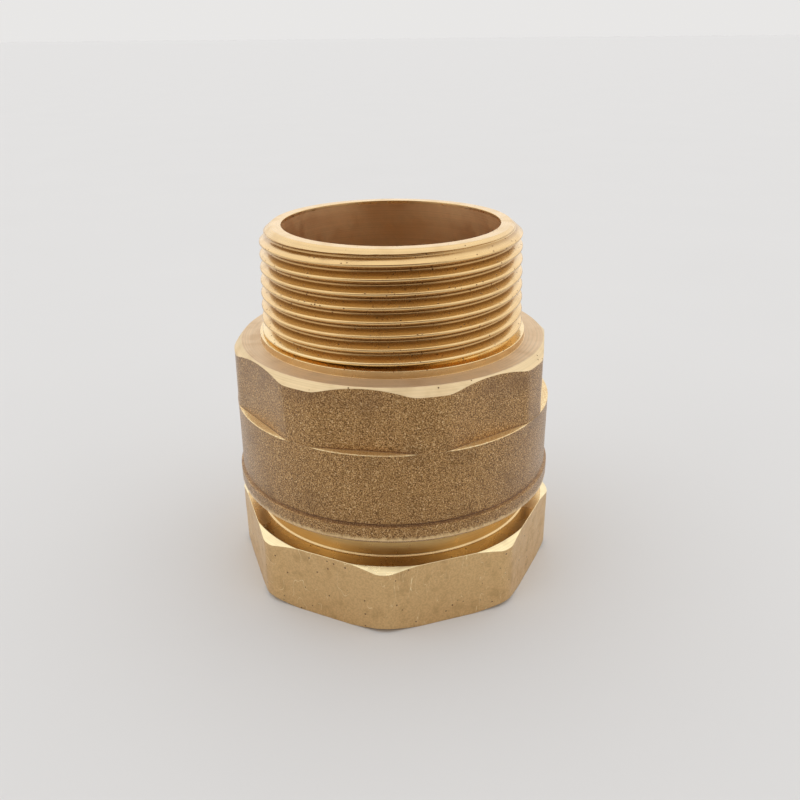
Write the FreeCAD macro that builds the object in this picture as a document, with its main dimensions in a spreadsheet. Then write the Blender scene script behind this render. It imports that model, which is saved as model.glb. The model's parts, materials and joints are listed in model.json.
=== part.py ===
"""Brass pipe union: a male taper-thread adaptor for 42 mm tube, closed by an octagonal gland nut.

The union's axis is Z.  It stands on the gland nut's lower face, at Z = 0, with the taper thread
at the top.  The nut screws up into the body and pushes a split grip ring and a thrust washer
against a rubber seal.  The nut is drawn hand tight, with part of its plain neck showing.
"""
import FreeCAD, Part
import Sketcher
import os
import re

SIZES = {
    # whole union
    "total_height": 66.6,
    "tube_radius": 21.0,
    "flat_count": 8,
    # how far a cut runs past the surface that it opens
    "groove_overrun": 0.4,
    "thread_overrun": 0.8,
    "flat_overrun": 2.0,
    # taper thread, 1:16, with its gauge diameter at the gauge length from the small end
    "taper_pitch": 2.309,
    "taper_depth": 1.479,
    "taper_gauge_radius": 23.9015,
    "taper_gauge_length": 12.7,
    "taper_slope": 0.03125,
    "taper_half_angle": 1.78991,
    "taper_groove_mouth": 1.924,
    "taper_groove_root": 0.385,
    "taper_start": 45.361,
    "end_bore_radius": 19.6,
    "end_rim_radius": 21.5,
    "end_chamfer_height": 1.7,
    "spigot_root": 44.5,
    # body
    "collar_radius": 24.6,
    "collar_height": 1.3,
    "shoulder_height": 46.0,
    "shoulder_radius": 28.1,
    "shoulder_chamfer": 1.4,
    "shell_radius": 29.7,
    "shell_top_radius": 29.5,
    "body_flat_apothem": 28.35,
    "body_flat_bottom": 34.7,
    "body_flat_turn": -100.0,
    "rim_radius": 30.2,
    "rim_top": 21.2,
    "parting_groove": 0.15,
    "body_bottom": 18.1,
    "rim_edge": 0.45,
    "mouth_chamfer": 1.0,
    "relief_bottom": 33.2,
    "relief_top": 34.8,
    "relief_radius": 27.65,
    "chamber_radius": 26.0,
    "chamber_top": 40.6,
    "socket_radius": 21.3,
    "socket_bottom": 43.6,
    "tube_stop": 46.0,
    # parallel thread between the body and the nut
    "gland_pitch": 1.5,
    "gland_bore_radius": 26.75,
    "gland_bore_depth_radius": 27.5,
    "gland_bore_mouth": 1.2,
    "gland_bore_root": 0.35,
    "gland_bore_start": 16.9,
    "gland_crest_radius": 27.35,
    "gland_root_radius": 26.5,
    "gland_groove_mouth": 1.34,
    "gland_groove_root": 0.5,
    "gland_groove_start": 19.15,
    "gland_thread_bottom": 20.2,
    "gland_thread_top": 30.0,
    "gland_thread_chamfer": 0.8,
    # gland nut
    "nut_corner_radius": 31.0,
    "nut_flat_apothem": 29.05,
    "nut_flat_turn": -71.4,
    "nut_face_radius": 29.5,
    "nut_chamfer": 0.85,
    "nut_head_height": 13.1,
    "neck_radius": 26.4,
    "neck_fillet": 0.3,
    "nut_bore_radius": 21.25,
    "nut_bore_chamfer": 0.8,
    "nut_cone_bottom": 15.0,
    "nut_cone_top": 29.2,
    "nut_cone_small": 22.9,
    "nut_cone_large": 25.2,
    # pieces inside
    "gap": 0.15,
    "grip_height": 14.9,
    "grip_lead": 1.0,
    "grip_tip_radius": 21.15,
    "grip_tooth_depth": 0.75,
    "grip_tooth_pitch": 2.4,
    "grip_tooth_count": 5,
    "grip_slot": 3.0,
    "washer_bottom": 30.2,
    "washer_thickness": 2.0,
    "washer_radius": 25.85,
    "seal_bottom": 34.6,
    "seal_clearance": 0.1,
}


def fill_sheet(doc):
    """Put every driving size in the spreadsheet under its own alias."""
    sheet = doc.addObject("Spreadsheet::Sheet", "Sizes")
    for row, (alias, value) in enumerate(SIZES.items(), start=1):
        sheet.set(f"A{row}", alias.replace("_", " "))
        sheet.set(f"B{row}", str(value))
        sheet.setAlias(f"B{row}", alias)
    doc.recompute()


def bound(formula):
    """The formula with every alias turned into a reference to the sheet."""
    return re.sub(r"[a-z][a-z_]*", lambda word: f"Sizes.{word.group()}", formula)


def value_of(formula):
    """The formula's number, used to draw a point near where its constraints will hold it."""
    numbers = re.sub(r"[a-z][a-z_]*", lambda word: str(SIZES[word.group()]), formula)
    return FreeCAD.Units.Quantity(numbers).Value


def origin_plane(body, role):
    """The body's own origin plane with this role."""
    return next(item for item in body.Origin.OriginFeatures if item.Role == role)


def new_body(doc, name):
    """An empty body whose label names the piece."""
    body = doc.addObject("PartDesign::Body", name)
    body.Label = name
    body.Placement = FreeCAD.Placement()
    return body


def outline(body, name, plane, corners):
    """A closed sketch of straight sides whose corners are held by formulas over the sheet."""
    sketch = body.newObject("Sketcher::SketchObject", name)
    sketch.AttachmentSupport = [(origin_plane(body, plane), "")]
    sketch.MapMode = "FlatFace"
    points = [FreeCAD.Vector(value_of(across), value_of(along), 0) for across, along in corners]
    for start, end in zip(points, points[1:] + points[:1]):
        sketch.addGeometry(Part.LineSegment(start, end), False)
    for side, (across, along) in enumerate(corners):
        following = (side + 1) % len(corners)
        sketch.addConstraint(Sketcher.Constraint("Coincident", side, 2, following, 1))
        for kind, formula in (("DistanceX", across), ("DistanceY", along)):
            held = Sketcher.Constraint(kind, -1, 1, side, 1, value_of(formula))
            sketch.setExpression(f"Constraints[{sketch.addConstraint(held)}]", bound(formula))
    return sketch


def turned(body, name, corners, kind="PartDesign::Revolution"):
    """A full turn of a profile, given as radius and height, about the body's Z axis."""
    sketch = outline(body, name + "Profile", "XZ_Plane", corners)
    feature = body.newObject(kind, name)
    feature.Profile = sketch
    feature.ReferenceAxis = (sketch, ["V_Axis"])
    feature.Angle = 360
    return feature


def thread_groove(body, name, root, root_width, mouth, mouth_width, outside, middle, pitch, height,
                  cone_angle="0"):
    """A right-hand helical groove cut along Z.

    Its section is root_width wide at the root radius and mouth_width at the mouth radius, and runs
    straight on to the outside radius.  It starts with its middle at the given height.
    """
    root_half = f"{root_width} / 2"
    mouth_half = f"{mouth_width} / 2"
    section = outline(body, name + "Section", "XZ_Plane", [
        (root, f"{middle} - {root_half}"),
        (mouth, f"{middle} - {mouth_half}"),
        (outside, f"{middle} - {mouth_half}"),
        (outside, f"{middle} + {mouth_half}"),
        (mouth, f"{middle} + {mouth_half}"),
        (root, f"{middle} + {root_half}"),
    ])
    helix = body.Document.addObject("Part::Helix", name + "Helix")
    helix.SegmentLength = 1
    for size, formula in (("Pitch", pitch), ("Height", height), ("Radius", mouth),
                          ("Angle", cone_angle), ("Placement.Base.z", middle)):
        helix.setExpression(size, bound(formula))
    body.Document.recompute()
    groove = body.newObject("PartDesign::SubtractivePipe", name)
    groove.Profile = section
    groove.Spine = (helix, [f"Edge{turn}" for turn in range(1, len(helix.Shape.Edges) + 1)])
    groove.Mode = "Frenet"


def ring_of_flats(body, name, corners, bottom, height, turn):
    """Spanner flats: one pocket outside the apothem, repeated evenly about Z."""
    sketch = outline(body, name + "Outline", "XY_Plane", corners)
    sketch.setExpression("AttachmentOffset.Base.z", bound(bottom))
    sketch.AttachmentOffset.Rotation.Axis = FreeCAD.Vector(0, 0, 1)
    sketch.setExpression("AttachmentOffset.Rotation.Angle", bound(turn))
    flat = body.newObject("PartDesign::Pocket", name)
    flat.Profile = sketch
    flat.Reversed = True
    flat.setExpression("Length", bound(height))
    pattern = body.newObject("PartDesign::PolarPattern", name + "Pattern")
    pattern.Originals = [flat]
    pattern.Axis = (sketch, ["N_Axis"])
    pattern.Angle = 360
    pattern.setExpression("Occurrences", bound("flat_count"))
    body.Tip = pattern
    return pattern


def fitting_body(doc):
    """The hollow body: taper-thread spigot above, octagon, round shell and threaded mouth below."""
    body = new_body(doc, "fitting_body")
    gauge = "taper_gauge_radius"
    gauge_height = "(total_height - taper_gauge_length)"
    turned(body, "Spigot", [
        ("end_bore_radius", "tube_stop"),
        ("socket_radius", "tube_stop"),
        ("socket_radius", "spigot_root"),
        (f"{gauge} + ({gauge_height} - spigot_root) * taper_slope", "spigot_root"),
        (f"{gauge} - (taper_gauge_length - end_chamfer_height) * taper_slope",
         "total_height - end_chamfer_height"),
        ("end_rim_radius", "total_height"),
        ("end_bore_radius", "total_height"),
    ])
    mouth = f"{gauge} + ({gauge_height} - taper_start) * taper_slope"
    thread_groove(body, "TaperThread", f"{mouth} - taper_depth", "taper_groove_root",
                  mouth, "taper_groove_mouth", f"{mouth} + groove_overrun", "taper_start",
                  "taper_pitch", "total_height - taper_start + taper_pitch", "-taper_half_angle")
    turned(body, "Shell", [
        ("end_bore_radius", "tube_stop"),
        ("socket_radius", "tube_stop"),
        ("socket_radius", "socket_bottom"),
        ("chamber_radius", "chamber_top"),
        ("chamber_radius", "relief_top"),
        ("relief_radius", "relief_top"),
        ("relief_radius", "relief_bottom"),
        ("gland_bore_radius", "relief_bottom"),
        ("gland_bore_radius", "body_bottom + mouth_chamfer"),
        ("gland_bore_radius + mouth_chamfer", "body_bottom"),
        ("rim_radius - rim_edge", "body_bottom"),
        ("rim_radius", "body_bottom + rim_edge"),
        ("rim_radius", "rim_top"),
        ("shell_radius - parting_groove", "rim_top + parting_groove"),
        ("shell_radius", "rim_top + parting_groove * 3"),
        ("shell_top_radius", "shoulder_height - shoulder_chamfer"),
        ("shoulder_radius", "shoulder_height"),
        ("collar_radius", "shoulder_height"),
        ("collar_radius", "shoulder_height + collar_height"),
        ("end_bore_radius", "shoulder_height + collar_height"),
    ])
    thread_groove(body, "SocketThread", "gland_bore_depth_radius", "gland_bore_root",
                  "gland_bore_radius", "gland_bore_mouth", "gland_bore_radius - groove_overrun",
                  "gland_bore_start", "gland_pitch", "relief_bottom + thread_overrun - gland_bore_start")
    ring_of_flats(body, "BodyFlat", [
        ("body_flat_apothem", "-shell_radius / 2"),
        ("shell_radius + flat_overrun", "-shell_radius / 2"),
        ("shell_radius + flat_overrun", "shell_radius / 2"),
        ("body_flat_apothem", "shell_radius / 2"),
    ], "body_flat_bottom", "shoulder_height - body_flat_bottom + flat_overrun", "body_flat_turn")
    return body


def gland_nut(doc):
    """The octagonal gland nut: head, plain neck and the male thread that screws up the body."""
    body = new_body(doc, "gland_nut")
    turned(body, "Blank", [
        ("nut_bore_radius + nut_bore_chamfer", "0"),
        ("nut_face_radius", "0"),
        ("nut_corner_radius", "nut_chamfer"),
        ("nut_corner_radius", "nut_head_height - nut_chamfer"),
        ("nut_face_radius", "nut_head_height"),
        ("neck_radius + neck_fillet", "nut_head_height"),
        ("neck_radius", "nut_head_height + neck_fillet"),
        ("neck_radius", "gland_thread_bottom"),
        ("gland_crest_radius", "gland_thread_bottom + gland_thread_chamfer"),
        ("gland_crest_radius", "gland_thread_top - gland_thread_chamfer"),
        ("gland_crest_radius - gland_thread_chamfer", "gland_thread_top"),
        ("nut_cone_large", "gland_thread_top"),
        ("nut_cone_large", "nut_cone_top"),
        ("nut_cone_small", "nut_cone_bottom"),
        ("nut_bore_radius", "nut_cone_bottom"),
        ("nut_bore_radius", "nut_bore_chamfer"),
    ])
    thread_groove(body, "GlandThread", "gland_root_radius", "gland_groove_root",
                  "gland_crest_radius", "gland_groove_mouth", "gland_crest_radius + groove_overrun",
                  "gland_groove_start", "gland_pitch",
                  "gland_thread_top + thread_overrun - gland_groove_start")
    ring_of_flats(body, "NutFlat", [
        ("nut_flat_apothem", "-nut_corner_radius / 2"),
        ("nut_corner_radius + flat_overrun", "-nut_corner_radius / 2"),
        ("nut_corner_radius + flat_overrun", "nut_corner_radius / 2"),
        ("nut_flat_apothem", "nut_corner_radius / 2"),
    ], "-flat_overrun", "nut_head_height + flat_overrun", "nut_flat_turn")
    return body


def seal_ring(doc):
    """The rubber seal: a thick ring with a conical top that fills the body's chamber."""
    body = new_body(doc, "seal_ring")
    inner = "tube_radius + seal_clearance"
    outer = "chamber_radius - seal_clearance"
    turned(body, "Ring", [
        (inner, "seal_bottom"),
        (outer, "seal_bottom"),
        (outer, "chamber_top - seal_clearance"),
        (inner, "socket_bottom - seal_clearance * 2"),
    ])
    return body


def thrust_washer(doc):
    """The flat brass washer between the grip ring and the seal."""
    body = new_body(doc, "thrust_washer")
    turned(body, "Washer", [
        ("tube_radius + gap", "washer_bottom"),
        ("washer_radius", "washer_bottom"),
        ("washer_radius", "washer_bottom + washer_thickness"),
        ("tube_radius + gap", "washer_bottom + washer_thickness"),
    ])
    return body


def grip_ring(doc):
    """The split cone with teeth inside that bites the tube when the nut's cone closes it."""
    body = new_body(doc, "grip_ring")
    bottom = "nut_cone_bottom + gap"
    teeth = []
    for tooth in reversed(range(SIZES["grip_tooth_count"])):
        foot = f"{bottom} + grip_lead + {tooth} * grip_tooth_pitch"
        teeth.append(("grip_tip_radius", f"{foot} + grip_tooth_pitch"))
        teeth.append(("grip_tip_radius + grip_tooth_depth", foot))
    turned(body, "Cone", [
        ("grip_tip_radius", bottom),
        ("nut_cone_small - gap", bottom),
        ("nut_cone_large - gap", "nut_cone_top"),
        ("nut_cone_large - gap", f"{bottom} + grip_height"),
        ("grip_tip_radius", f"{bottom} + grip_height"),
        *teeth,
    ])
    slot = outline(body, "SlotOutline", "XY_Plane", [
        ("-grip_slot / 2", "tube_radius - groove_overrun"),
        ("grip_slot / 2", "tube_radius - groove_overrun"),
        ("grip_slot / 2", "nut_cone_large + groove_overrun"),
        ("-grip_slot / 2", "nut_cone_large + groove_overrun"),
    ])
    split = body.newObject("PartDesign::Pocket", "Split")
    split.Profile = slot
    split.Type = "ThroughAll"
    split.Midplane = True
    return body


def check(doc, pieces):
    """Stop if an object failed to build or a piece isn't one valid closed solid."""
    for item in doc.Objects:
        if "Invalid" in item.State or "Error" in item.State:
            raise RuntimeError(f"{item.Name} didn't build: {item.State}")
    for piece in pieces:
        shape = piece.Shape
        if shape.isNull() or not shape.isValid() or len(shape.Solids) != 1:
            raise RuntimeError(f"{piece.Label} isn't one valid solid")


def main():
    doc = FreeCAD.newDocument("PipeUnion")
    fill_sheet(doc)
    makers = (fitting_body, gland_nut, seal_ring, thrust_washer, grip_ring)
    pieces = [make(doc) for make in makers]
    doc.recompute()
    check(doc, pieces)
    os.makedirs("parts", exist_ok=True)
    for piece in pieces:
        piece.Shape.exportStep(f"parts/{piece.Label}.step")
        print(f"{piece.Label}: {piece.Shape.Volume / 1000:.2f} cm3")


main()
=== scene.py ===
"""Brass pipe union standing on its gland nut: the visual model, its finishes, lights and camera.

The union's axis is Z.  Sections are drawn in millimetres as radius and height, and are swept
round the axis into meshes in metres.
"""
import json
import math
from collections import namedtuple

import bmesh
import bpy
import numpy as np
from mathutils import Matrix, Vector, noise


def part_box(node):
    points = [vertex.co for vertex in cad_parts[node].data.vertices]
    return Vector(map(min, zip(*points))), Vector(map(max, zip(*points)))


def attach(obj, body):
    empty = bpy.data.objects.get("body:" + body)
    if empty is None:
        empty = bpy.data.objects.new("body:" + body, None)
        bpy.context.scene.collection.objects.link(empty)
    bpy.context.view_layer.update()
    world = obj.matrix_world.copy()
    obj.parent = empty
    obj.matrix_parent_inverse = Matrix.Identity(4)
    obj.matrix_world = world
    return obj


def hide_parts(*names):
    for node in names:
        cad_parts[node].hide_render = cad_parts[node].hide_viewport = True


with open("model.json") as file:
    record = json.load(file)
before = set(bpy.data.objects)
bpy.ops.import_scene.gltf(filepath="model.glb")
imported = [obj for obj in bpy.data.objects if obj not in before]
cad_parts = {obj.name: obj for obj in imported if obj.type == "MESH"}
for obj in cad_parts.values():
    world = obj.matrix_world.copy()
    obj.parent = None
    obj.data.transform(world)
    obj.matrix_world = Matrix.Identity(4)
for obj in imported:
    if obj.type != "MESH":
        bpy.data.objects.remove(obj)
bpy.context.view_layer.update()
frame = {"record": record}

MM = 0.001
FULL_TURN = 2 * math.pi
COLUMNS = 360
ARC_STEPS = 3
MERGE_DISTANCE = 1e-7

# Taper thread: Whitworth form, right-hand, 1:16 on diameter
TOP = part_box("fitting_body")[1].z / MM
PITCH = 2.309
GAUGE_RADIUS = 23.9015
GAUGE_HEIGHT = TOP - 12.7
TAPER_SLOPE = 1 / 32
THREAD_DEPTH = 0.640327 * PITCH
GROOVE_START = 45.361

# Body
BORE = 19.6
END_RIM = 21.5
END_CHAMFER = 1.7
COLLAR = 24.6
COLLAR_TOP = 47.3
SHOULDER = 46.0
SHOULDER_RADIUS = 28.1
SHELL_RADIUS = 29.7
SHELL_TOP_RADIUS = 29.5
BODY_APOTHEM = 28.35
BODY_FLAT_TURN = math.radians(-100)
LEDGE = 34.7
RIM_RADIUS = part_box("fitting_body")[1].x / MM
RIM_TOP = 21.2
BODY_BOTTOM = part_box("fitting_body")[0].z / MM
GLAND_BORE = 26.75
MOUTH_CHAMFER = 1.0
RELIEF = 27.65
RELIEF_BOTTOM = 33.2
RELIEF_TOP = 34.8
CHAMBER = 26.0
CHAMBER_TOP = 40.6
SOCKET = 21.3
SOCKET_BOTTOM = 43.6

# Gland nut and the parallel thread between it and the body
GLAND_PITCH = 1.5
BODY_GROOVE_START = 16.9
NUT_GROOVE_START = 19.15
NUT_THREAD = 27.35
NUT_THREAD_BOTTOM = 20.2
NUT_THREAD_TOP = 30.0
NUT_THREAD_CHAMFER = 0.8
NUT_CORNER = 31.0
NUT_APOTHEM = 29.05
NUT_FLAT_TURN = math.radians(-71.4)
NUT_FACE = 29.5
NUT_CHAMFER = 0.85
HEAD_TOP = 13.1
NECK = 26.4
NUT_BORE = 21.25
NUT_BORE_LEAD = 0.8
CONE_MOUTH = 25.2
CONE_MOUTH_BOTTOM = 29.2
CONE_FOOT = 22.9
CONE_BOTTOM = 15.0

# A corner of a section: radius, height, how far its edge is rounded, and the finish from there on
Corner = namedtuple("Corner", "r z edge finish", defaults=(0.0, None))
angles = np.linspace(0, FULL_TURN, COLUMNS + 1)


# ---------------------------------------------------------------- sections

def soft_min(first, second, blend):
    """The smaller of two radii, with the edge between them rounded off over the blend length."""
    overlap = np.maximum(blend - np.abs(first - second), 0) / blend
    return np.minimum(first, second) - overlap ** 2 * blend / 4


def octagon(apothem, turn, corner_radius, blend):
    """An octagon's radius at every angle, with its corners cut back to a circle."""
    eighth = FULL_TURN / 8
    from_face = (angles - turn + eighth / 2) % eighth - eighth / 2
    return soft_min(apothem / np.cos(from_face), corner_radius, blend)


def thread_radius(z, form, middle, pitch, base):
    """The radius of a right-hand thread at a height, at every angle.

    The form gives the distance under the base radius against the share of a pitch above the
    groove's middle, and the groove's middle starts at the given height on the +X side.
    """
    phase = (z - middle) / pitch - angles / FULL_TURN
    shares, depths = np.transpose(form)
    return base(z) - np.interp(phase % 1.0, shares, depths, period=1.0)


def thread_lines(low, high, form, middle, pitch, base, finish):
    """Corners that follow a thread up from the low height to the high one.

    Each line climbs the helix and waits at the low and the high height while it is outside them,
    so that every turn keeps its sharp lines.  A level line at each end closes the thread off.
    """
    first_turn = math.floor((low - middle) / pitch) - 1
    last_turn = math.ceil((high - middle) / pitch)
    climbs = [middle + pitch * (turn + share + angles / FULL_TURN)
              for turn in range(first_turn, last_turn + 1) for share, _ in form]
    heights = [np.clip(climb, low, high) for climb in climbs if climb[-1] > low and climb[0] < high]
    return [Corner(thread_radius(z, form, middle, pitch, base), z, 0.0, finish)
            for z in (low, *heights, high)]


def thread_end(low, high, choose, cone, finish, thread):
    """Corners through the end of a thread, where its grooves run on into the cone that cuts it."""
    return [Corner(choose(thread_radius(z, **thread), cone(z)), z, 0, finish)
            for z in even_steps(low, high, 16)]


def whitworth_form(depth):
    """Half-round crest and root joined by 27.5 degree flanks, from the groove's middle up."""
    flank = math.radians(27.5)
    rounding = 0.137329 * PITCH
    reach = rounding * math.cos(flank)
    root = []
    for across in (0.0, 0.6 * reach, reach):
        root.append((across / PITCH, depth - rounding + math.sqrt(rounding ** 2 - across ** 2)))
    crest = [(0.5 - share, depth - down) for share, down in reversed(root)]
    rising = root + crest
    falling = [(1 - share, down) for share, down in reversed(rising[1:-1])]
    return rising + falling


def trapezoid_form(root_width, mouth_width, depth, pitch):
    """Flat root and crest joined by straight flanks, from the groove's middle up."""
    root, mouth = root_width / 2 / pitch, mouth_width / 2 / pitch
    return [(root, depth), (mouth, 0.0), (1 - mouth, 0.0), (1 - root, depth)]


def rounded(corners):
    """The section's points at every angle, and each point's finish, with edges rounded off."""
    points = np.array([np.stack(np.broadcast_arrays(corner.r, corner.z, angles)[:2], -1)
                       for corner in corners])
    rows, finishes = [], []
    finish = None
    for index, corner in enumerate(corners):
        finish = corner.finish or finish
        point = points[index]
        if not corner.edge:
            rows.append(point)
            finishes.append(finish)
            continue
        back = points[index - 1] - point
        ahead = points[(index + 1) % len(corners)] - point
        back_length = np.linalg.norm(back, axis=1, keepdims=True)
        ahead_length = np.linalg.norm(ahead, axis=1, keepdims=True)
        back, ahead = back / back_length, ahead / ahead_length
        half = np.arccos(np.clip(np.sum(back * ahead, 1, keepdims=True), -1, 1)) / 2
        reach = np.minimum(corner.edge / np.tan(half), 0.45 * np.minimum(back_length, ahead_length))
        for step in range(ARC_STEPS + 1):
            part = step / ARC_STEPS
            rows.append(point + reach * ((1 - part) ** 2 * back + part ** 2 * ahead))
            finishes.append(finish)
    return rows, finishes


def even_steps(start, end, count):
    """The values between two ends, both left out."""
    return [start + (end - start) * step / count for step in range(1, count)]


# ---------------------------------------------------------------- meshes

def sweep(name, corners, finishes, slot=0.0):
    """A piece swept round the axis from its section, with an optional slot left open at +Y."""
    rows, row_finishes = rounded(corners)
    vertices = []
    for row in rows:
        r, z = row[:, 0], row[:, 1]
        if slot:
            open_half = np.arcsin(slot / 2 / r)
            around = math.pi / 2 + open_half + (FULL_TURN - 2 * open_half) * angles / FULL_TURN
        else:
            around = angles
        vertices.append(np.stack([r * np.cos(around), r * np.sin(around), z], -1) * MM)
    width = COLUMNS + 1
    faces, slots = [], []
    names = list(finishes)
    for row, finish in enumerate(row_finishes):
        following = (row + 1) % len(rows)
        for column in range(COLUMNS):
            faces.append((row * width + column, following * width + column,
                          following * width + column + 1, row * width + column + 1))
            slots.append(names.index(finish))
    if slot:
        for column in (0, COLUMNS):
            faces.append([row * width + column for row in range(len(rows))])
            slots.append(0)
    mesh = bpy.data.meshes.new(name)
    mesh.from_pydata(np.concatenate(vertices), [], faces)
    mesh.polygons.foreach_set("material_index", slots)
    for finish in finishes.values():
        mesh.materials.append(finish)
    solid = bmesh.new()
    solid.from_mesh(mesh)
    bmesh.ops.remove_doubles(solid, verts=solid.verts, dist=MERGE_DISTANCE)
    bmesh.ops.dissolve_degenerate(solid, edges=solid.edges, dist=MERGE_DISTANCE)
    bmesh.ops.recalc_face_normals(solid, faces=solid.faces)
    solid.to_mesh(mesh)
    solid.free()
    mesh.polygons.foreach_set("use_smooth", [True] * len(mesh.polygons))
    mesh.set_sharp_from_angle(angle=math.radians(50))
    piece = bpy.data.objects.new(name, mesh)
    bpy.context.collection.objects.link(piece)
    even = piece.modifiers.new("Even normals", "WEIGHTED_NORMAL")
    even.keep_sharp = True
    return piece


def unsettle(piece, finish, waves):
    """Give the surfaces of one finish the slight hollows of a casting or forging."""
    mesh = piece.data
    index = mesh.materials.find(finish.name)
    chosen = {number for face in mesh.polygons if face.material_index == index
              for number in face.vertices}
    others = {number for face in mesh.polygons if face.material_index != index
              for number in face.vertices}
    for number in chosen - others:
        vertex = mesh.vertices[number]
        depth = sum(height * (noise.noise(vertex.co / length) + 1) / 2 for length, height in waves)
        outward = Vector((vertex.co.x, vertex.co.y, 0)).normalized()
        vertex.co -= outward * depth


def fitting_body(finishes):
    """The body: taper thread, collar, shoulder, octagon, round shell, rim and the hollow inside."""
    form = whitworth_form(THREAD_DEPTH)

    def taper(z):
        return GAUGE_RADIUS + (GAUGE_HEIGHT - z) * TAPER_SLOPE

    thread = dict(form=form, middle=GROOVE_START, pitch=PITCH, base=taper)
    chamfer_bottom = TOP - END_CHAMFER - 0.25
    crest_at_end = taper(TOP - END_CHAMFER)
    chamfer_slope = (crest_at_end - END_RIM) / END_CHAMFER
    spigot = thread_lines(COLLAR_TOP, chamfer_bottom, finish="thread", **thread)
    for z in even_steps(chamfer_bottom, TOP - 0.1, 26):
        cone = END_RIM + (TOP - z) * chamfer_slope
        radius = np.minimum(thread_radius(z, **thread), cone)
        spigot.append(Corner(radius, z, 0, "thread" if z < TOP - END_CHAMFER / 2 else "end_face"))
    gland_thread = dict(form=trapezoid_form(0.35, 1.2, -0.75, GLAND_PITCH), middle=BODY_GROOVE_START,
                        pitch=GLAND_PITCH, base=lambda z: GLAND_BORE)
    mouth = BODY_BOTTOM + MOUTH_CHAMFER
    gland = thread_end(BODY_BOTTOM, mouth, np.maximum, lambda z: GLAND_BORE + mouth - z, "inside",
                       gland_thread)
    gland += thread_lines(mouth, RELIEF_BOTTOM, finish="inside", **gland_thread)
    flat = octagon(BODY_APOTHEM, BODY_FLAT_TURN, SHELL_TOP_RADIUS, 0.35)
    flat_foot = octagon(BODY_APOTHEM, BODY_FLAT_TURN, SHELL_RADIUS - 0.02, 0.15)
    scallop = SHOULDER - (flat - SHOULDER_RADIUS)
    lip = 0.06 * np.clip((SHELL_RADIUS - flat_foot) / 0.5, 0, 1)
    foot = LEDGE + 0.1
    bore_top = TOP - 0.6
    side = [Corner(flat_foot + (flat - flat_foot) * part, foot + (scallop - foot) * part)
            for part in even_steps(0, 1, 20)]
    shell = [Corner(SHELL_RADIUS, z) for z in even_steps(RIM_TOP + 0.7, LEDGE - 0.3, 16)]
    rim = [Corner(RIM_RADIUS, z) for z in even_steps(BODY_BOTTOM + 0.6, RIM_TOP - 0.3, 5)]
    corners = [
        Corner(BORE, TOP, 0.12, "end_face"),
        Corner(BORE, bore_top, 0, "bore"),
        *[Corner(BORE, z) for z in even_steps(bore_top, SHOULDER, 8)],
        Corner(BORE, SHOULDER, 0, "inside"),
        Corner(SOCKET, SHOULDER),
        Corner(SOCKET, SOCKET_BOTTOM),
        Corner(CHAMBER, CHAMBER_TOP),
        Corner(CHAMBER, RELIEF_TOP),
        Corner(RELIEF, RELIEF_TOP),
        Corner(RELIEF, RELIEF_BOTTOM),
        *reversed(gland),
        Corner(GLAND_BORE + MOUTH_CHAMFER, BODY_BOTTOM, 0.1),
        Corner(RIM_RADIUS - 0.45, BODY_BOTTOM, 0.2, "cast"),
        Corner(RIM_RADIUS, BODY_BOTTOM + 0.5, 0.3),
        *rim,
        Corner(RIM_RADIUS, RIM_TOP, 0.2),
        Corner(SHELL_RADIUS - 0.15, RIM_TOP + 0.15, 0.1),
        Corner(SHELL_RADIUS, RIM_TOP + 0.45, 0.2),
        *shell,
        Corner(SHELL_RADIUS, LEDGE - lip, 0.14, "ledge"),
        Corner(flat_foot, LEDGE + lip, 0.04, "cast"),
        *side,
        Corner(flat, scallop, 0.06, "chamfer"),
        Corner(SHOULDER_RADIUS, SHOULDER, 0.12, "face"),
        Corner(COLLAR, SHOULDER, 0.08, "collar"),
        Corner(COLLAR, COLLAR_TOP, 0.1, "thread"),
        *spigot,
        Corner(END_RIM, TOP, 0.1, "end_face"),
    ]
    piece = sweep("union_body", corners, finishes)
    unsettle(piece, finishes["cast"], ((0.007, 0.00006), (0.0025, 0.00003)))
    return piece


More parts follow.
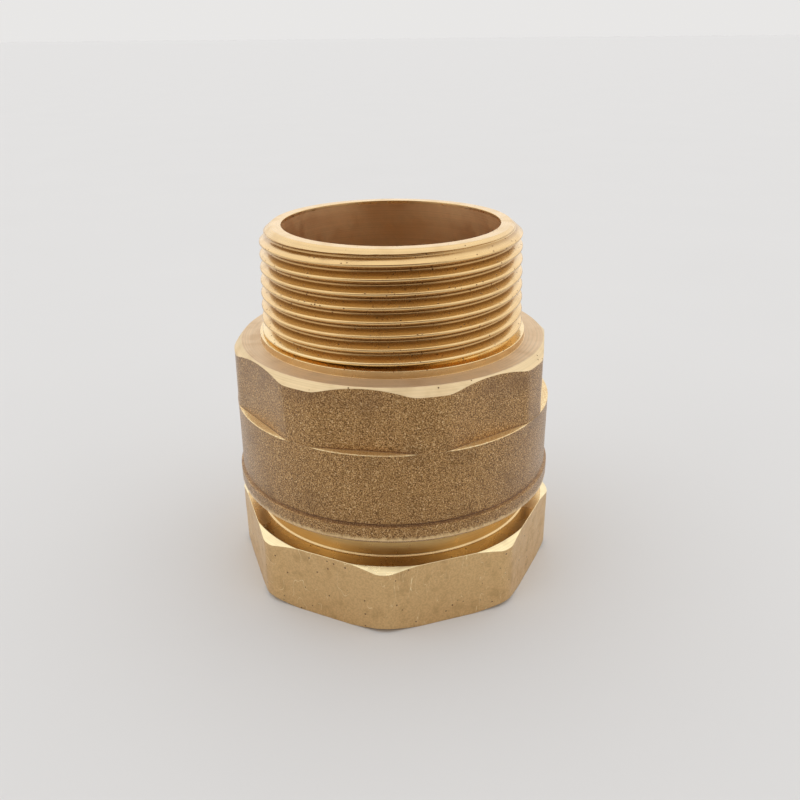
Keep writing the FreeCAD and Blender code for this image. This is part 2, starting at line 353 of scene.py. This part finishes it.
def gland_nut(finishes):
    """The gland nut: octagonal head, plain neck and the male thread inside the body."""
    outline = octagon(NUT_APOTHEM, NUT_FLAT_TURN, NUT_CORNER, 0.25)
    face = np.minimum(NUT_FACE, outline - 0.06)
    drop = np.maximum((outline - NUT_FACE) * NUT_CHAMFER / (NUT_CORNER - NUT_FACE), 0.05)
    thread = dict(form=trapezoid_form(0.5, 1.34, 0.85, GLAND_PITCH), middle=NUT_GROOVE_START,
                  pitch=GLAND_PITCH, base=lambda z: NUT_THREAD)
    low, high = NUT_THREAD_BOTTOM + NUT_THREAD_CHAMFER, NUT_THREAD_TOP - NUT_THREAD_CHAMFER

    def lead_in(z):
        return NECK + (NUT_THREAD - NECK) * (z - NUT_THREAD_BOTTOM) / NUT_THREAD_CHAMFER

    lines = thread_end(NUT_THREAD_BOTTOM, low, np.minimum, lead_in, "inside", thread)
    lines += thread_lines(low, high, finish="inside", **thread)
    lines += thread_end(high, NUT_THREAD_TOP, np.minimum, lambda z: NUT_THREAD - (z - high), "inside",
                        thread)
    head = [Corner(outline, drop + (HEAD_TOP - 2 * drop) * part, 0, "flat")
            for part in even_steps(0, 1, 16)]
    corners = [
        Corner(NUT_BORE + NUT_BORE_LEAD, 0, 0.1, "turned"),
        Corner(face, 0, 0.05),
        Corner(outline, drop, 0.06, "flat"),
        *head,
        Corner(outline, HEAD_TOP - drop, 0.06, "chamfer"),
        Corner(face, HEAD_TOP, 0.05, "turned"),
        Corner(NECK + 0.3, HEAD_TOP, 0.1),
        Corner(NECK, HEAD_TOP + 0.3, 0.2, "neck"),
        Corner(NECK, NUT_THREAD_BOTTOM, 0.05, "inside"),
        *lines,
        Corner(NUT_THREAD - NUT_THREAD_CHAMFER, NUT_THREAD_TOP),
        Corner(CONE_MOUTH, NUT_THREAD_TOP, 0.1),
        Corner(CONE_MOUTH, CONE_MOUTH_BOTTOM, 0.05),
        Corner(CONE_FOOT, CONE_BOTTOM, 0.05),
        Corner(NUT_BORE, CONE_BOTTOM, 0.1, "turned"),
        Corner(NUT_BORE, NUT_BORE_LEAD, 0.1),
    ]
    piece = sweep("union_gland_nut", corners, finishes)
    unsettle(piece, finishes["flat"], ((0.006, 0.00004), (0.002, 0.00002)))
    return piece


def seal_ring(finishes):
    """The rubber seal, with moulded round edges."""
    low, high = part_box("seal_ring")
    inner, outer = 21.1, high.x / MM
    corners = [
        Corner(inner, low.z / MM, 0.5, "seal"),
        Corner(outer, low.z / MM, 0.5),
        Corner(outer, CHAMBER_TOP - 0.1, 0.5),
        Corner(inner, high.z / MM, 0.4),
    ]
    return sweep("union_seal_ring", corners, finishes)


def thrust_washer(finishes):
    """The flat washer, with its edges broken."""
    low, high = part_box("thrust_washer")
    inner, outer = 21.15, high.x / MM
    corners = [
        Corner(inner, low.z / MM, 0.2, "turned"),
        Corner(outer, low.z / MM, 0.2),
        Corner(outer, high.z / MM, 0.2),
        Corner(inner, high.z / MM, 0.2),
    ]
    return sweep("union_thrust_washer", corners, finishes)


def grip_ring(finishes):
    """The split cone: smooth outside, saw teeth inside and a slot at the back."""
    low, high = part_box("grip_ring")
    bottom, top = low.z / MM, high.z / MM
    tip, tooth_depth, tooth_pitch, tooth_count, lead = 21.15, 0.75, 2.4, 5, 1.0
    cone_foot, cone_top, widest = 22.75, 29.2, 25.05
    corners = [
        Corner(tip, bottom, 0.15, "turned"),
        Corner(cone_foot, bottom, 0.3),
        Corner(widest, cone_top, 0.3),
        Corner(widest, top, 0.2),
        Corner(tip, top, 0.1),
    ]
    for tooth in reversed(range(tooth_count)):
        foot = bottom + lead + tooth * tooth_pitch
        corners.append(Corner(tip, foot + tooth_pitch, 0.04))
        corners.append(Corner(tip + tooth_depth, foot, 0.1))
    return sweep("union_grip_ring", corners, finishes, slot=3.0)


# ---------------------------------------------------------------- finishes

class Finish:
    """A node material whose nodes are made and joined by short calls."""

    def __init__(self, name, colour, metallic=1.0):
        self.material = bpy.data.materials.new(name)
        self.material.use_nodes = True
        self.tree = self.material.node_tree
        self.shader = self.tree.nodes["Principled BSDF"]
        self.shader.inputs["Metallic"].default_value = metallic
        self.shader.inputs["Base Color"].default_value = (*colour, 1)
        place = self.add("TexCoord").outputs["Object"]
        self.place = self.add("VectorMath", {0: place, 1: (1 / MM,) * 3},
                              operation="MULTIPLY").outputs[0]
        parts = self.add("SeparateXYZ", {0: self.place}).outputs
        self.height = parts["Z"]
        across = self.math("MULTIPLY", parts["X"], parts["X"])
        along = self.math("MULTIPLY", parts["Y"], parts["Y"])
        self.radius = self.math("SQRT", self.math("ADD", across, along))

    def add(self, kind, values=None, **settings):
        node = self.tree.nodes.new("ShaderNode" + kind)
        for setting, value in settings.items():
            setattr(node, setting, value)
        for socket, value in (values or {}).items():
            self.put(node.inputs[socket], value)
        return node

    def put(self, socket, value):
        if isinstance(value, bpy.types.NodeSocket):
            self.tree.links.new(value, socket)
        else:
            socket.default_value = value

    def math(self, operation, first, second=0.0):
        return self.add("Math", {0: first, 1: second}, operation=operation).outputs[0]

    def noise(self, length, detail=2.0, stretch=(1, 1, 1), roughness=0.5):
        """Noise from 0 to 1 whose features are this many millimetres long, times the stretch."""
        scaled = self.add("VectorMath", {0: self.place, 1: [1 / (length * part) for part in stretch]},
                          operation="MULTIPLY").outputs[0]
        return self.add("TexNoise", {"Vector": scaled, "Scale": 1.0, "Detail": detail,
                                     "Roughness": roughness}).outputs["Fac"]

    def turning(self, spacing, detail=3.0):
        """Fine lines left by a lathe tool, in circles round the axis on every turned surface."""
        around = self.add("VectorMath", {0: self.place, 1: (0.03, 0.03, 1 / spacing)},
                          operation="MULTIPLY").outputs[0]
        outwards = self.math("MULTIPLY", self.radius, 1 / spacing)
        return self.add("TexNoise", {"Vector": around, "W": outwards, "Scale": 1.0, "Detail": detail,
                                     "Roughness": 0.6}, noise_dimensions="4D").outputs["Fac"]

    def ramp(self, value, start, end, low=0.0, high=1.0):
        """A smooth change from low to high as the value goes from start to end."""
        return self.add("MapRange", {0: value, 1: start, 2: end, 3: low, 4: high},
                        interpolation_type="SMOOTHSTEP").outputs[0]

    def mix(self, share, first, second):
        """The first colour, going over to the second as the share goes from 0 to 1."""
        first, second = ((*value, 1) if isinstance(value, tuple) else value
                         for value in (first, second))
        return self.add("Mix", {0: share, 6: first, 7: second}, data_type="RGBA").outputs[2]

    def spots(self, spacing, size, share):
        """Round marks, 1 inside and 0 outside, in a share of the cells of an uneven grid."""
        cells = self.add("TexVoronoi", {"Vector": self.place, "Scale": 1 / spacing})
        inside = self.ramp(cells.outputs["Distance"], size, size * 0.5)
        lot = self.add("SeparateColor", {0: cells.outputs["Color"]}).outputs[0]
        return self.math("MULTIPLY", inside, self.math("LESS_THAN", lot, share))

    def scratches(self, length, direction, share):
        """Thin straight marks drawn out along a direction, in patches."""
        turned = self.add("Mapping", {"Vector": self.place, "Rotation": direction}).outputs[0]
        stretched = self.add("VectorMath", {0: turned, 1: (1 / length, 6 / length, 1 / length)},
                             operation="MULTIPLY").outputs[0]
        field = self.add("TexNoise", {"Vector": stretched, "Scale": 1.0, "Detail": 1.0}).outputs["Fac"]
        line = self.ramp(self.math("ABSOLUTE", self.math("SUBTRACT", field, 0.5)), 0.006, 0.002)
        patch = self.ramp(self.noise(4.0), 0.6 - share / 4, 0.68 - share / 4)
        return self.math("MULTIPLY", line, patch)

    def colour(self, value):
        self.put(self.shader.inputs["Base Color"], value)

    def roughness(self, value):
        self.put(self.shader.inputs["Roughness"], value)

    def film(self, weight, roughness):
        """A thin clear film, such as handling leaves, that pales the surface towards its outline."""
        self.put(self.shader.inputs["Coat Weight"], weight)
        self.put(self.shader.inputs["Coat Roughness"], roughness)

    def dust(self, weight, roughness):
        """Fine dust in a rough surface, which shows as a pale sheen where the surface turns away."""
        self.put(self.shader.inputs["Sheen Weight"], weight)
        self.put(self.shader.inputs["Sheen Roughness"], roughness)

    def relief(self, *layers):
        """Bumps from (height, millimetres deep) layers, one over another."""
        normal = None
        for height, depth in layers:
            values = {"Height": height, "Distance": depth * MM, "Strength": 1.0}
            if normal is not None:
                values["Normal"] = normal
            normal = self.add("Bump", values).outputs[0]
        self.put(self.shader.inputs["Normal"], normal)


BRASS = (0.80, 0.57, 0.29)
DARK_BRASS = (0.42, 0.25, 0.10)
DEEP_BRASS = (0.15, 0.068, 0.018)
THREAD_BRASS = (0.80, 0.55, 0.26)
COLLAR_BRASS = (0.74, 0.51, 0.25)
# Darker than the other turned brass: painted shade on the nut's neck under the body's overhang.
NECK_BRASS = (0.59, 0.40, 0.17)
CAST_BRASS = (0.56, 0.32, 0.112)
RED_BRASS = (0.84, 0.54, 0.28)
PALE_BRASS = (0.95, 0.79, 0.47)
TAN_BRASS = (0.80, 0.62, 0.42)
SATIN_BRASS = (0.80, 0.62, 0.37)
FORGED_BRASS = (0.76, 0.52, 0.25)
# Dark tarnish for pits and stains, also used as painted shade in the casting's crease over the rim and
# in the corners over the ledges.
TARNISH_AND_SHADE = (0.20, 0.10, 0.045)


def cast_brass():
    """Shot-blasted casting: dark, sparkling grain, painted shade in the crease over the rim and over
    the ledges, a rubbed edge.
    """
    finish = Finish("cast_brass", CAST_BRASS)
    grain = finish.noise(0.21, 3.0, roughness=0.7)
    coarse = finish.noise(0.8, 2.0)
    stain = finish.noise(6.0, 3.0)
    tone = finish.mix(finish.ramp(grain, 0.40, 0.57), DEEP_BRASS, CAST_BRASS)
    tone = finish.mix(finish.ramp(grain, 0.58, 0.70), tone, PALE_BRASS)
    tone = finish.mix(finish.ramp(stain, 0.5, 0.8, 0.0, 0.4), tone, DEEP_BRASS)
    under_chamfer = finish.math("MULTIPLY", finish.ramp(finish.height, 40.0, 45.0),
                                finish.ramp(stain, 0.35, 0.65, 0.0, 0.45))
    tone = finish.mix(under_chamfer, tone, TARNISH_AND_SHADE)
    # Painted shade: a dark wandering line along the crease over the rim.
    wander = finish.math("ADD", finish.height, finish.math("MULTIPLY", coarse, 0.5))
    crease = finish.ramp(finish.math("ABSOLUTE", finish.math("SUBTRACT", wander, RIM_TOP + 0.5)),
                         0.35, 0.1, 0.0, 0.55)
    tone = finish.mix(crease, tone, TARNISH_AND_SHADE)
    # Painted shade: darker in the set-back corner just over each ledge, at the feet of the flats.
    close_above = finish.ramp(finish.height, LEDGE + 0.45, LEDGE + 0.1)
    set_back = finish.ramp(finish.radius, SHELL_RADIUS - 0.15, SHELL_RADIUS - 0.3, 0.0, 0.5)
    tone = finish.mix(finish.math("MULTIPLY", close_above, set_back), tone, TARNISH_AND_SHADE)
    edge = finish.math("ADD", finish.height, finish.math("MULTIPLY", coarse, 1.4))
    rubbed = finish.ramp(edge, 20.2, 19.4)
    finish.colour(finish.mix(rubbed, tone, BRASS))
    rough = finish.ramp(grain, 0.3, 0.7, 0.52, 0.34)
    finish.roughness(finish.math("SUBTRACT", rough, finish.math("MULTIPLY", rubbed, 0.12)))
    height = finish.math("MULTIPLY", grain, finish.math("SUBTRACT", 1.0, rubbed))
    finish.film(0.4, 0.45)
    finish.dust(0.22, 0.45)
    finish.relief((coarse, 0.03), (height, 0.09))
    return finish.material


def ledge_brass():
    """The small steps at the feet of the flats: the casting's grain, painted pale as a highlight."""
    finish = Finish("ledge_brass", BRASS)
    grain = finish.noise(0.25, 3.0, roughness=0.7)
    # Painted highlight: the grain goes over to pale brass along each ledge.
    finish.colour(finish.mix(finish.ramp(grain, 0.42, 0.6), FORGED_BRASS, PALE_BRASS))
    finish.roughness(finish.ramp(grain, 0.3, 0.7, 0.5, 0.35))
    finish.relief((grain, 0.04))
    return finish.material


def turned_brass(name, colour, spacing, rough, depth, spots=0.0, haze=0.15, root=0.0):
    """Turned brass: circular tool lines, small dark pits and a slightly uneven shine.

    Root is how much darker the taper thread's roots are painted than its crests: painted shade in the
    grooves.
    """
    finish = Finish(name, colour)
    lines = finish.turning(spacing)
    cloud = finish.noise(3.0, 3.0)
    darker = tuple(part * 0.72 for part in colour)
    tone = finish.mix(finish.ramp(lines, 0.35, 0.65, 0.0, 0.5), colour, darker)
    tone = finish.mix(finish.ramp(cloud, 0.45, 0.8, 0.0, haze), tone, DARK_BRASS)
    if root:
        # Painted shade: the roots are darkened by their depth under the crest line.
        crest = finish.math("SUBTRACT", GAUGE_RADIUS + GAUGE_HEIGHT * TAPER_SLOPE,
                            finish.math("MULTIPLY", finish.height, TAPER_SLOPE))
        under = finish.math("SUBTRACT", crest, finish.radius)
        # Painted light: the groove just over the collar is paled towards pale brass, lifting its
        # shade, and the painted root shade fades out there.
        above_collar = finish.ramp(finish.height, COLLAR_TOP + 0.5, COLLAR_TOP + 2.5)
        painted_root_shade = finish.math("MULTIPLY", finish.ramp(under, 0.5, 1.3, 0.0, root), above_collar)
        tone = finish.mix(finish.ramp(above_collar, 0.6, 0.0, 0.0, 0.45), tone, PALE_BRASS)
        tone = finish.mix(painted_root_shade, tone, DARK_BRASS)
    pits = finish.spots(0.9, 0.2, spots)
    finish.colour(finish.mix(pits, tone, TARNISH_AND_SHADE))
    finish.roughness(finish.math("ADD", finish.ramp(cloud, 0.3, 0.75, rough, rough + 0.12),
                                 finish.math("MULTIPLY", pits, 0.3)))
    finish.relief((lines, depth), (pits, -0.03))
    return finish.material


def forged_flat():
    """The nut's flats: smooth satin brass with pits, stains and scratches."""
    finish = Finish("forged_flat", FORGED_BRASS)
    grain = finish.noise(0.35, 3.0)
    cloud = finish.noise(2.5, 3.0)
    tone = finish.mix(finish.ramp(grain, 0.35, 0.7, 0.0, 0.35), FORGED_BRASS, DARK_BRASS)
    tone = finish.mix(finish.ramp(cloud, 0.5, 0.75, 0.0, 0.35), tone, DARK_BRASS)
    pits = finish.spots(1.1, 0.2, 0.3)
    scratches = finish.scratches(7.0, (0.4, 0.2, 0.9), 0.5)
    tone = finish.mix(pits, tone, TARNISH_AND_SHADE)
    finish.colour(finish.mix(scratches, tone, PALE_BRASS))
    finish.roughness(finish.ramp(cloud, 0.3, 0.7, 0.36, 0.48))
    finish.film(0.2, 0.35)
    finish.relief((grain, 0.012), (pits, -0.04), (scratches, -0.01))
    return finish.material


def rubber():
    """Matt black moulded rubber with a fine bloom."""
    finish = Finish("seal_rubber", (0.02, 0.02, 0.02), metallic=0.0)
    bloom = finish.noise(1.5, 4.0)
    finish.colour(finish.mix(bloom, (0.012, 0.012, 0.013), (0.045, 0.044, 0.042)))
    finish.roughness(finish.ramp(bloom, 0.3, 0.7, 0.55, 0.8))
    finish.relief((finish.noise(0.3, 3.0), 0.02))
    return finish.material


def pale_floor():
    """A matt white table top."""
    finish = Finish("pale_floor", (0.9, 0.9, 0.9), metallic=0.0)
    cloud = finish.noise(60.0, 2.0)
    finish.colour(finish.mix(cloud, (0.67, 0.665, 0.66), (0.70, 0.695, 0.69)))
    finish.roughness(finish.ramp(cloud, 0.3, 0.7, 0.85, 0.95))
    return finish.material


# ---------------------------------------------------------------- stage, lights and camera

def build_stage():
    """A wide pale floor just under the union."""
    half = 20.0
    mesh = bpy.data.meshes.new("floor")
    mesh.from_pydata([(-half, -half, 0), (half, -half, 0), (half, half, 0), (-half, half, 0)], [],
                     [(0, 1, 2, 3)])
    mesh.materials.append(pale_floor())
    floor = bpy.data.objects.new("floor", mesh)
    floor.location.z = -0.02 * MM
    bpy.context.collection.objects.link(floor)


ROOM_LIGHT = (1.2, 1.2, 1.2, 1)
DARK_LIGHT = (0.15, 0.085, 0.045, 1)
BACKDROP = (0.81, 0.80, 0.79, 1)
DARK_EDGE, DARK_MIDDLE = math.radians(58), math.radians(22)


def build_world():
    """A bright soft room, dimmer and warmer in front.  The camera sees a plain backdrop instead."""
    world = bpy.data.worlds.new("studio")
    bpy.context.scene.world = world
    world.use_nodes = True
    nodes, links = world.node_tree.nodes, world.node_tree.links
    place = nodes.new("ShaderNodeTexCoord")
    facing = nodes.new("ShaderNodeVectorMath")
    facing.operation = "DOT_PRODUCT"
    facing.inputs[1].default_value = Vector((0, -1, 0.1)).normalized()
    links.new(place.outputs["Generated"], facing.inputs[0])
    front = nodes.new("ShaderNodeMapRange")
    front.interpolation_type = "SMOOTHSTEP"
    front.inputs["From Min"].default_value = math.cos(DARK_EDGE)
    front.inputs["From Max"].default_value = math.cos(DARK_MIDDLE)
    links.new(facing.outputs["Value"], front.inputs["Value"])
    room = nodes.new("ShaderNodeMix")
    room.data_type = "RGBA"
    room.inputs[6].default_value = ROOM_LIGHT
    room.inputs[7].default_value = DARK_LIGHT
    links.new(front.outputs[0], room.inputs[0])
    path = nodes.new("ShaderNodeLightPath")
    seen = nodes.new("ShaderNodeMix")
    seen.data_type = "RGBA"
    links.new(path.outputs["Is Camera Ray"], seen.inputs[0])
    links.new(room.outputs[2], seen.inputs[6])
    seen.inputs[7].default_value = BACKDROP
    links.new(seen.outputs[2], nodes["Background"].inputs["Color"])


def build_camera():
    """The camera in front and above, looking a little down at the union."""
    position = Vector((0, -0.14899, 0.09715))
    down, aside, roll = math.radians(23.793), math.radians(0.509), math.radians(-0.533)
    forward = Vector((math.sin(aside) * math.cos(down), math.cos(aside) * math.cos(down),
                      -math.sin(down)))
    level = forward.cross(Vector((0, 0, 1))).normalized()
    upright = level.cross(forward)
    right = math.cos(roll) * level + math.sin(roll) * upright
    up = math.cos(roll) * upright - math.sin(roll) * level
    camera = bpy.data.cameras.new("camera")
    camera.lens = 37.38
    camera.sensor_width = 36
    camera.clip_start = 0.005
    stand = bpy.data.objects.new("camera", camera)
    axes = Matrix((right, up, -forward)).transposed()
    stand.matrix_world = Matrix.Translation(position) @ axes.to_4x4()
    bpy.context.collection.objects.link(stand)
    bpy.context.scene.camera = stand


def build_union():
    """Make every piece, give it to its CAD body and hide the CAD node it replaces."""
    cast = cast_brass()
    inside = turned_brass("inside_brass", BRASS, 0.12, 0.3, 0.008)
    turned = turned_brass("turned_brass", BRASS, 0.10, 0.22, 0.006, spots=0.1)
    body_finishes = {
        "cast": cast,
        "thread": turned_brass("thread_brass", THREAD_BRASS, 0.08, 0.18, 0.002, spots=0.5, root=0.85),
        "end_face": turned_brass("end_face_brass", BRASS, 0.10, 0.25, 0.006, spots=0.1),
        "bore": turned_brass("bore_brass", RED_BRASS, 0.07, 0.42, 0.006),
        "chamfer": turned_brass("shoulder_chamfer_brass", SATIN_BRASS, 0.10, 0.42, 0.006,
                                spots=0.15),
        "face": turned_brass("shoulder_brass", TAN_BRASS, 0.10, 0.58, 0.008),
        "ledge": ledge_brass(),
        "collar": turned_brass("collar_brass", COLLAR_BRASS, 0.10, 0.22, 0.006),
        "inside": inside,
    }
    nut_finishes = {
        "flat": forged_flat(),
        "chamfer": turned_brass("nut_chamfer_brass", PALE_BRASS, 0.10, 0.25, 0.006),
        "turned": turned,
        # The neck's darker colour is painted shade under the body's overhang.
        "neck": turned_brass("neck_brass", NECK_BRASS, 0.10, 0.26, 0.004),
        "inside": inside,
    }
    pieces = (
        (fitting_body(body_finishes), "fitting_body", "cast_brass"),
        (gland_nut(nut_finishes), "gland_nut", "forged_brass"),
        (grip_ring({"turned": turned}), "grip_ring", "turned_brass"),
        (thrust_washer({"turned": turned}), "thrust_washer", "turned_brass"),
        (seal_ring({"seal": rubber()}), "seal_ring", "rubber"),
    )
    body_of = {node: body for body, nodes in frame["record"]["behaviour"]["bodies"].items()
               for node in nodes}
    for piece, node, slot in pieces:
        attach(piece, body_of[node])
        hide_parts(node)


build_union()
build_stage()
build_world()
build_camera()
bpy.context.scene.view_settings.view_transform = "Standard"
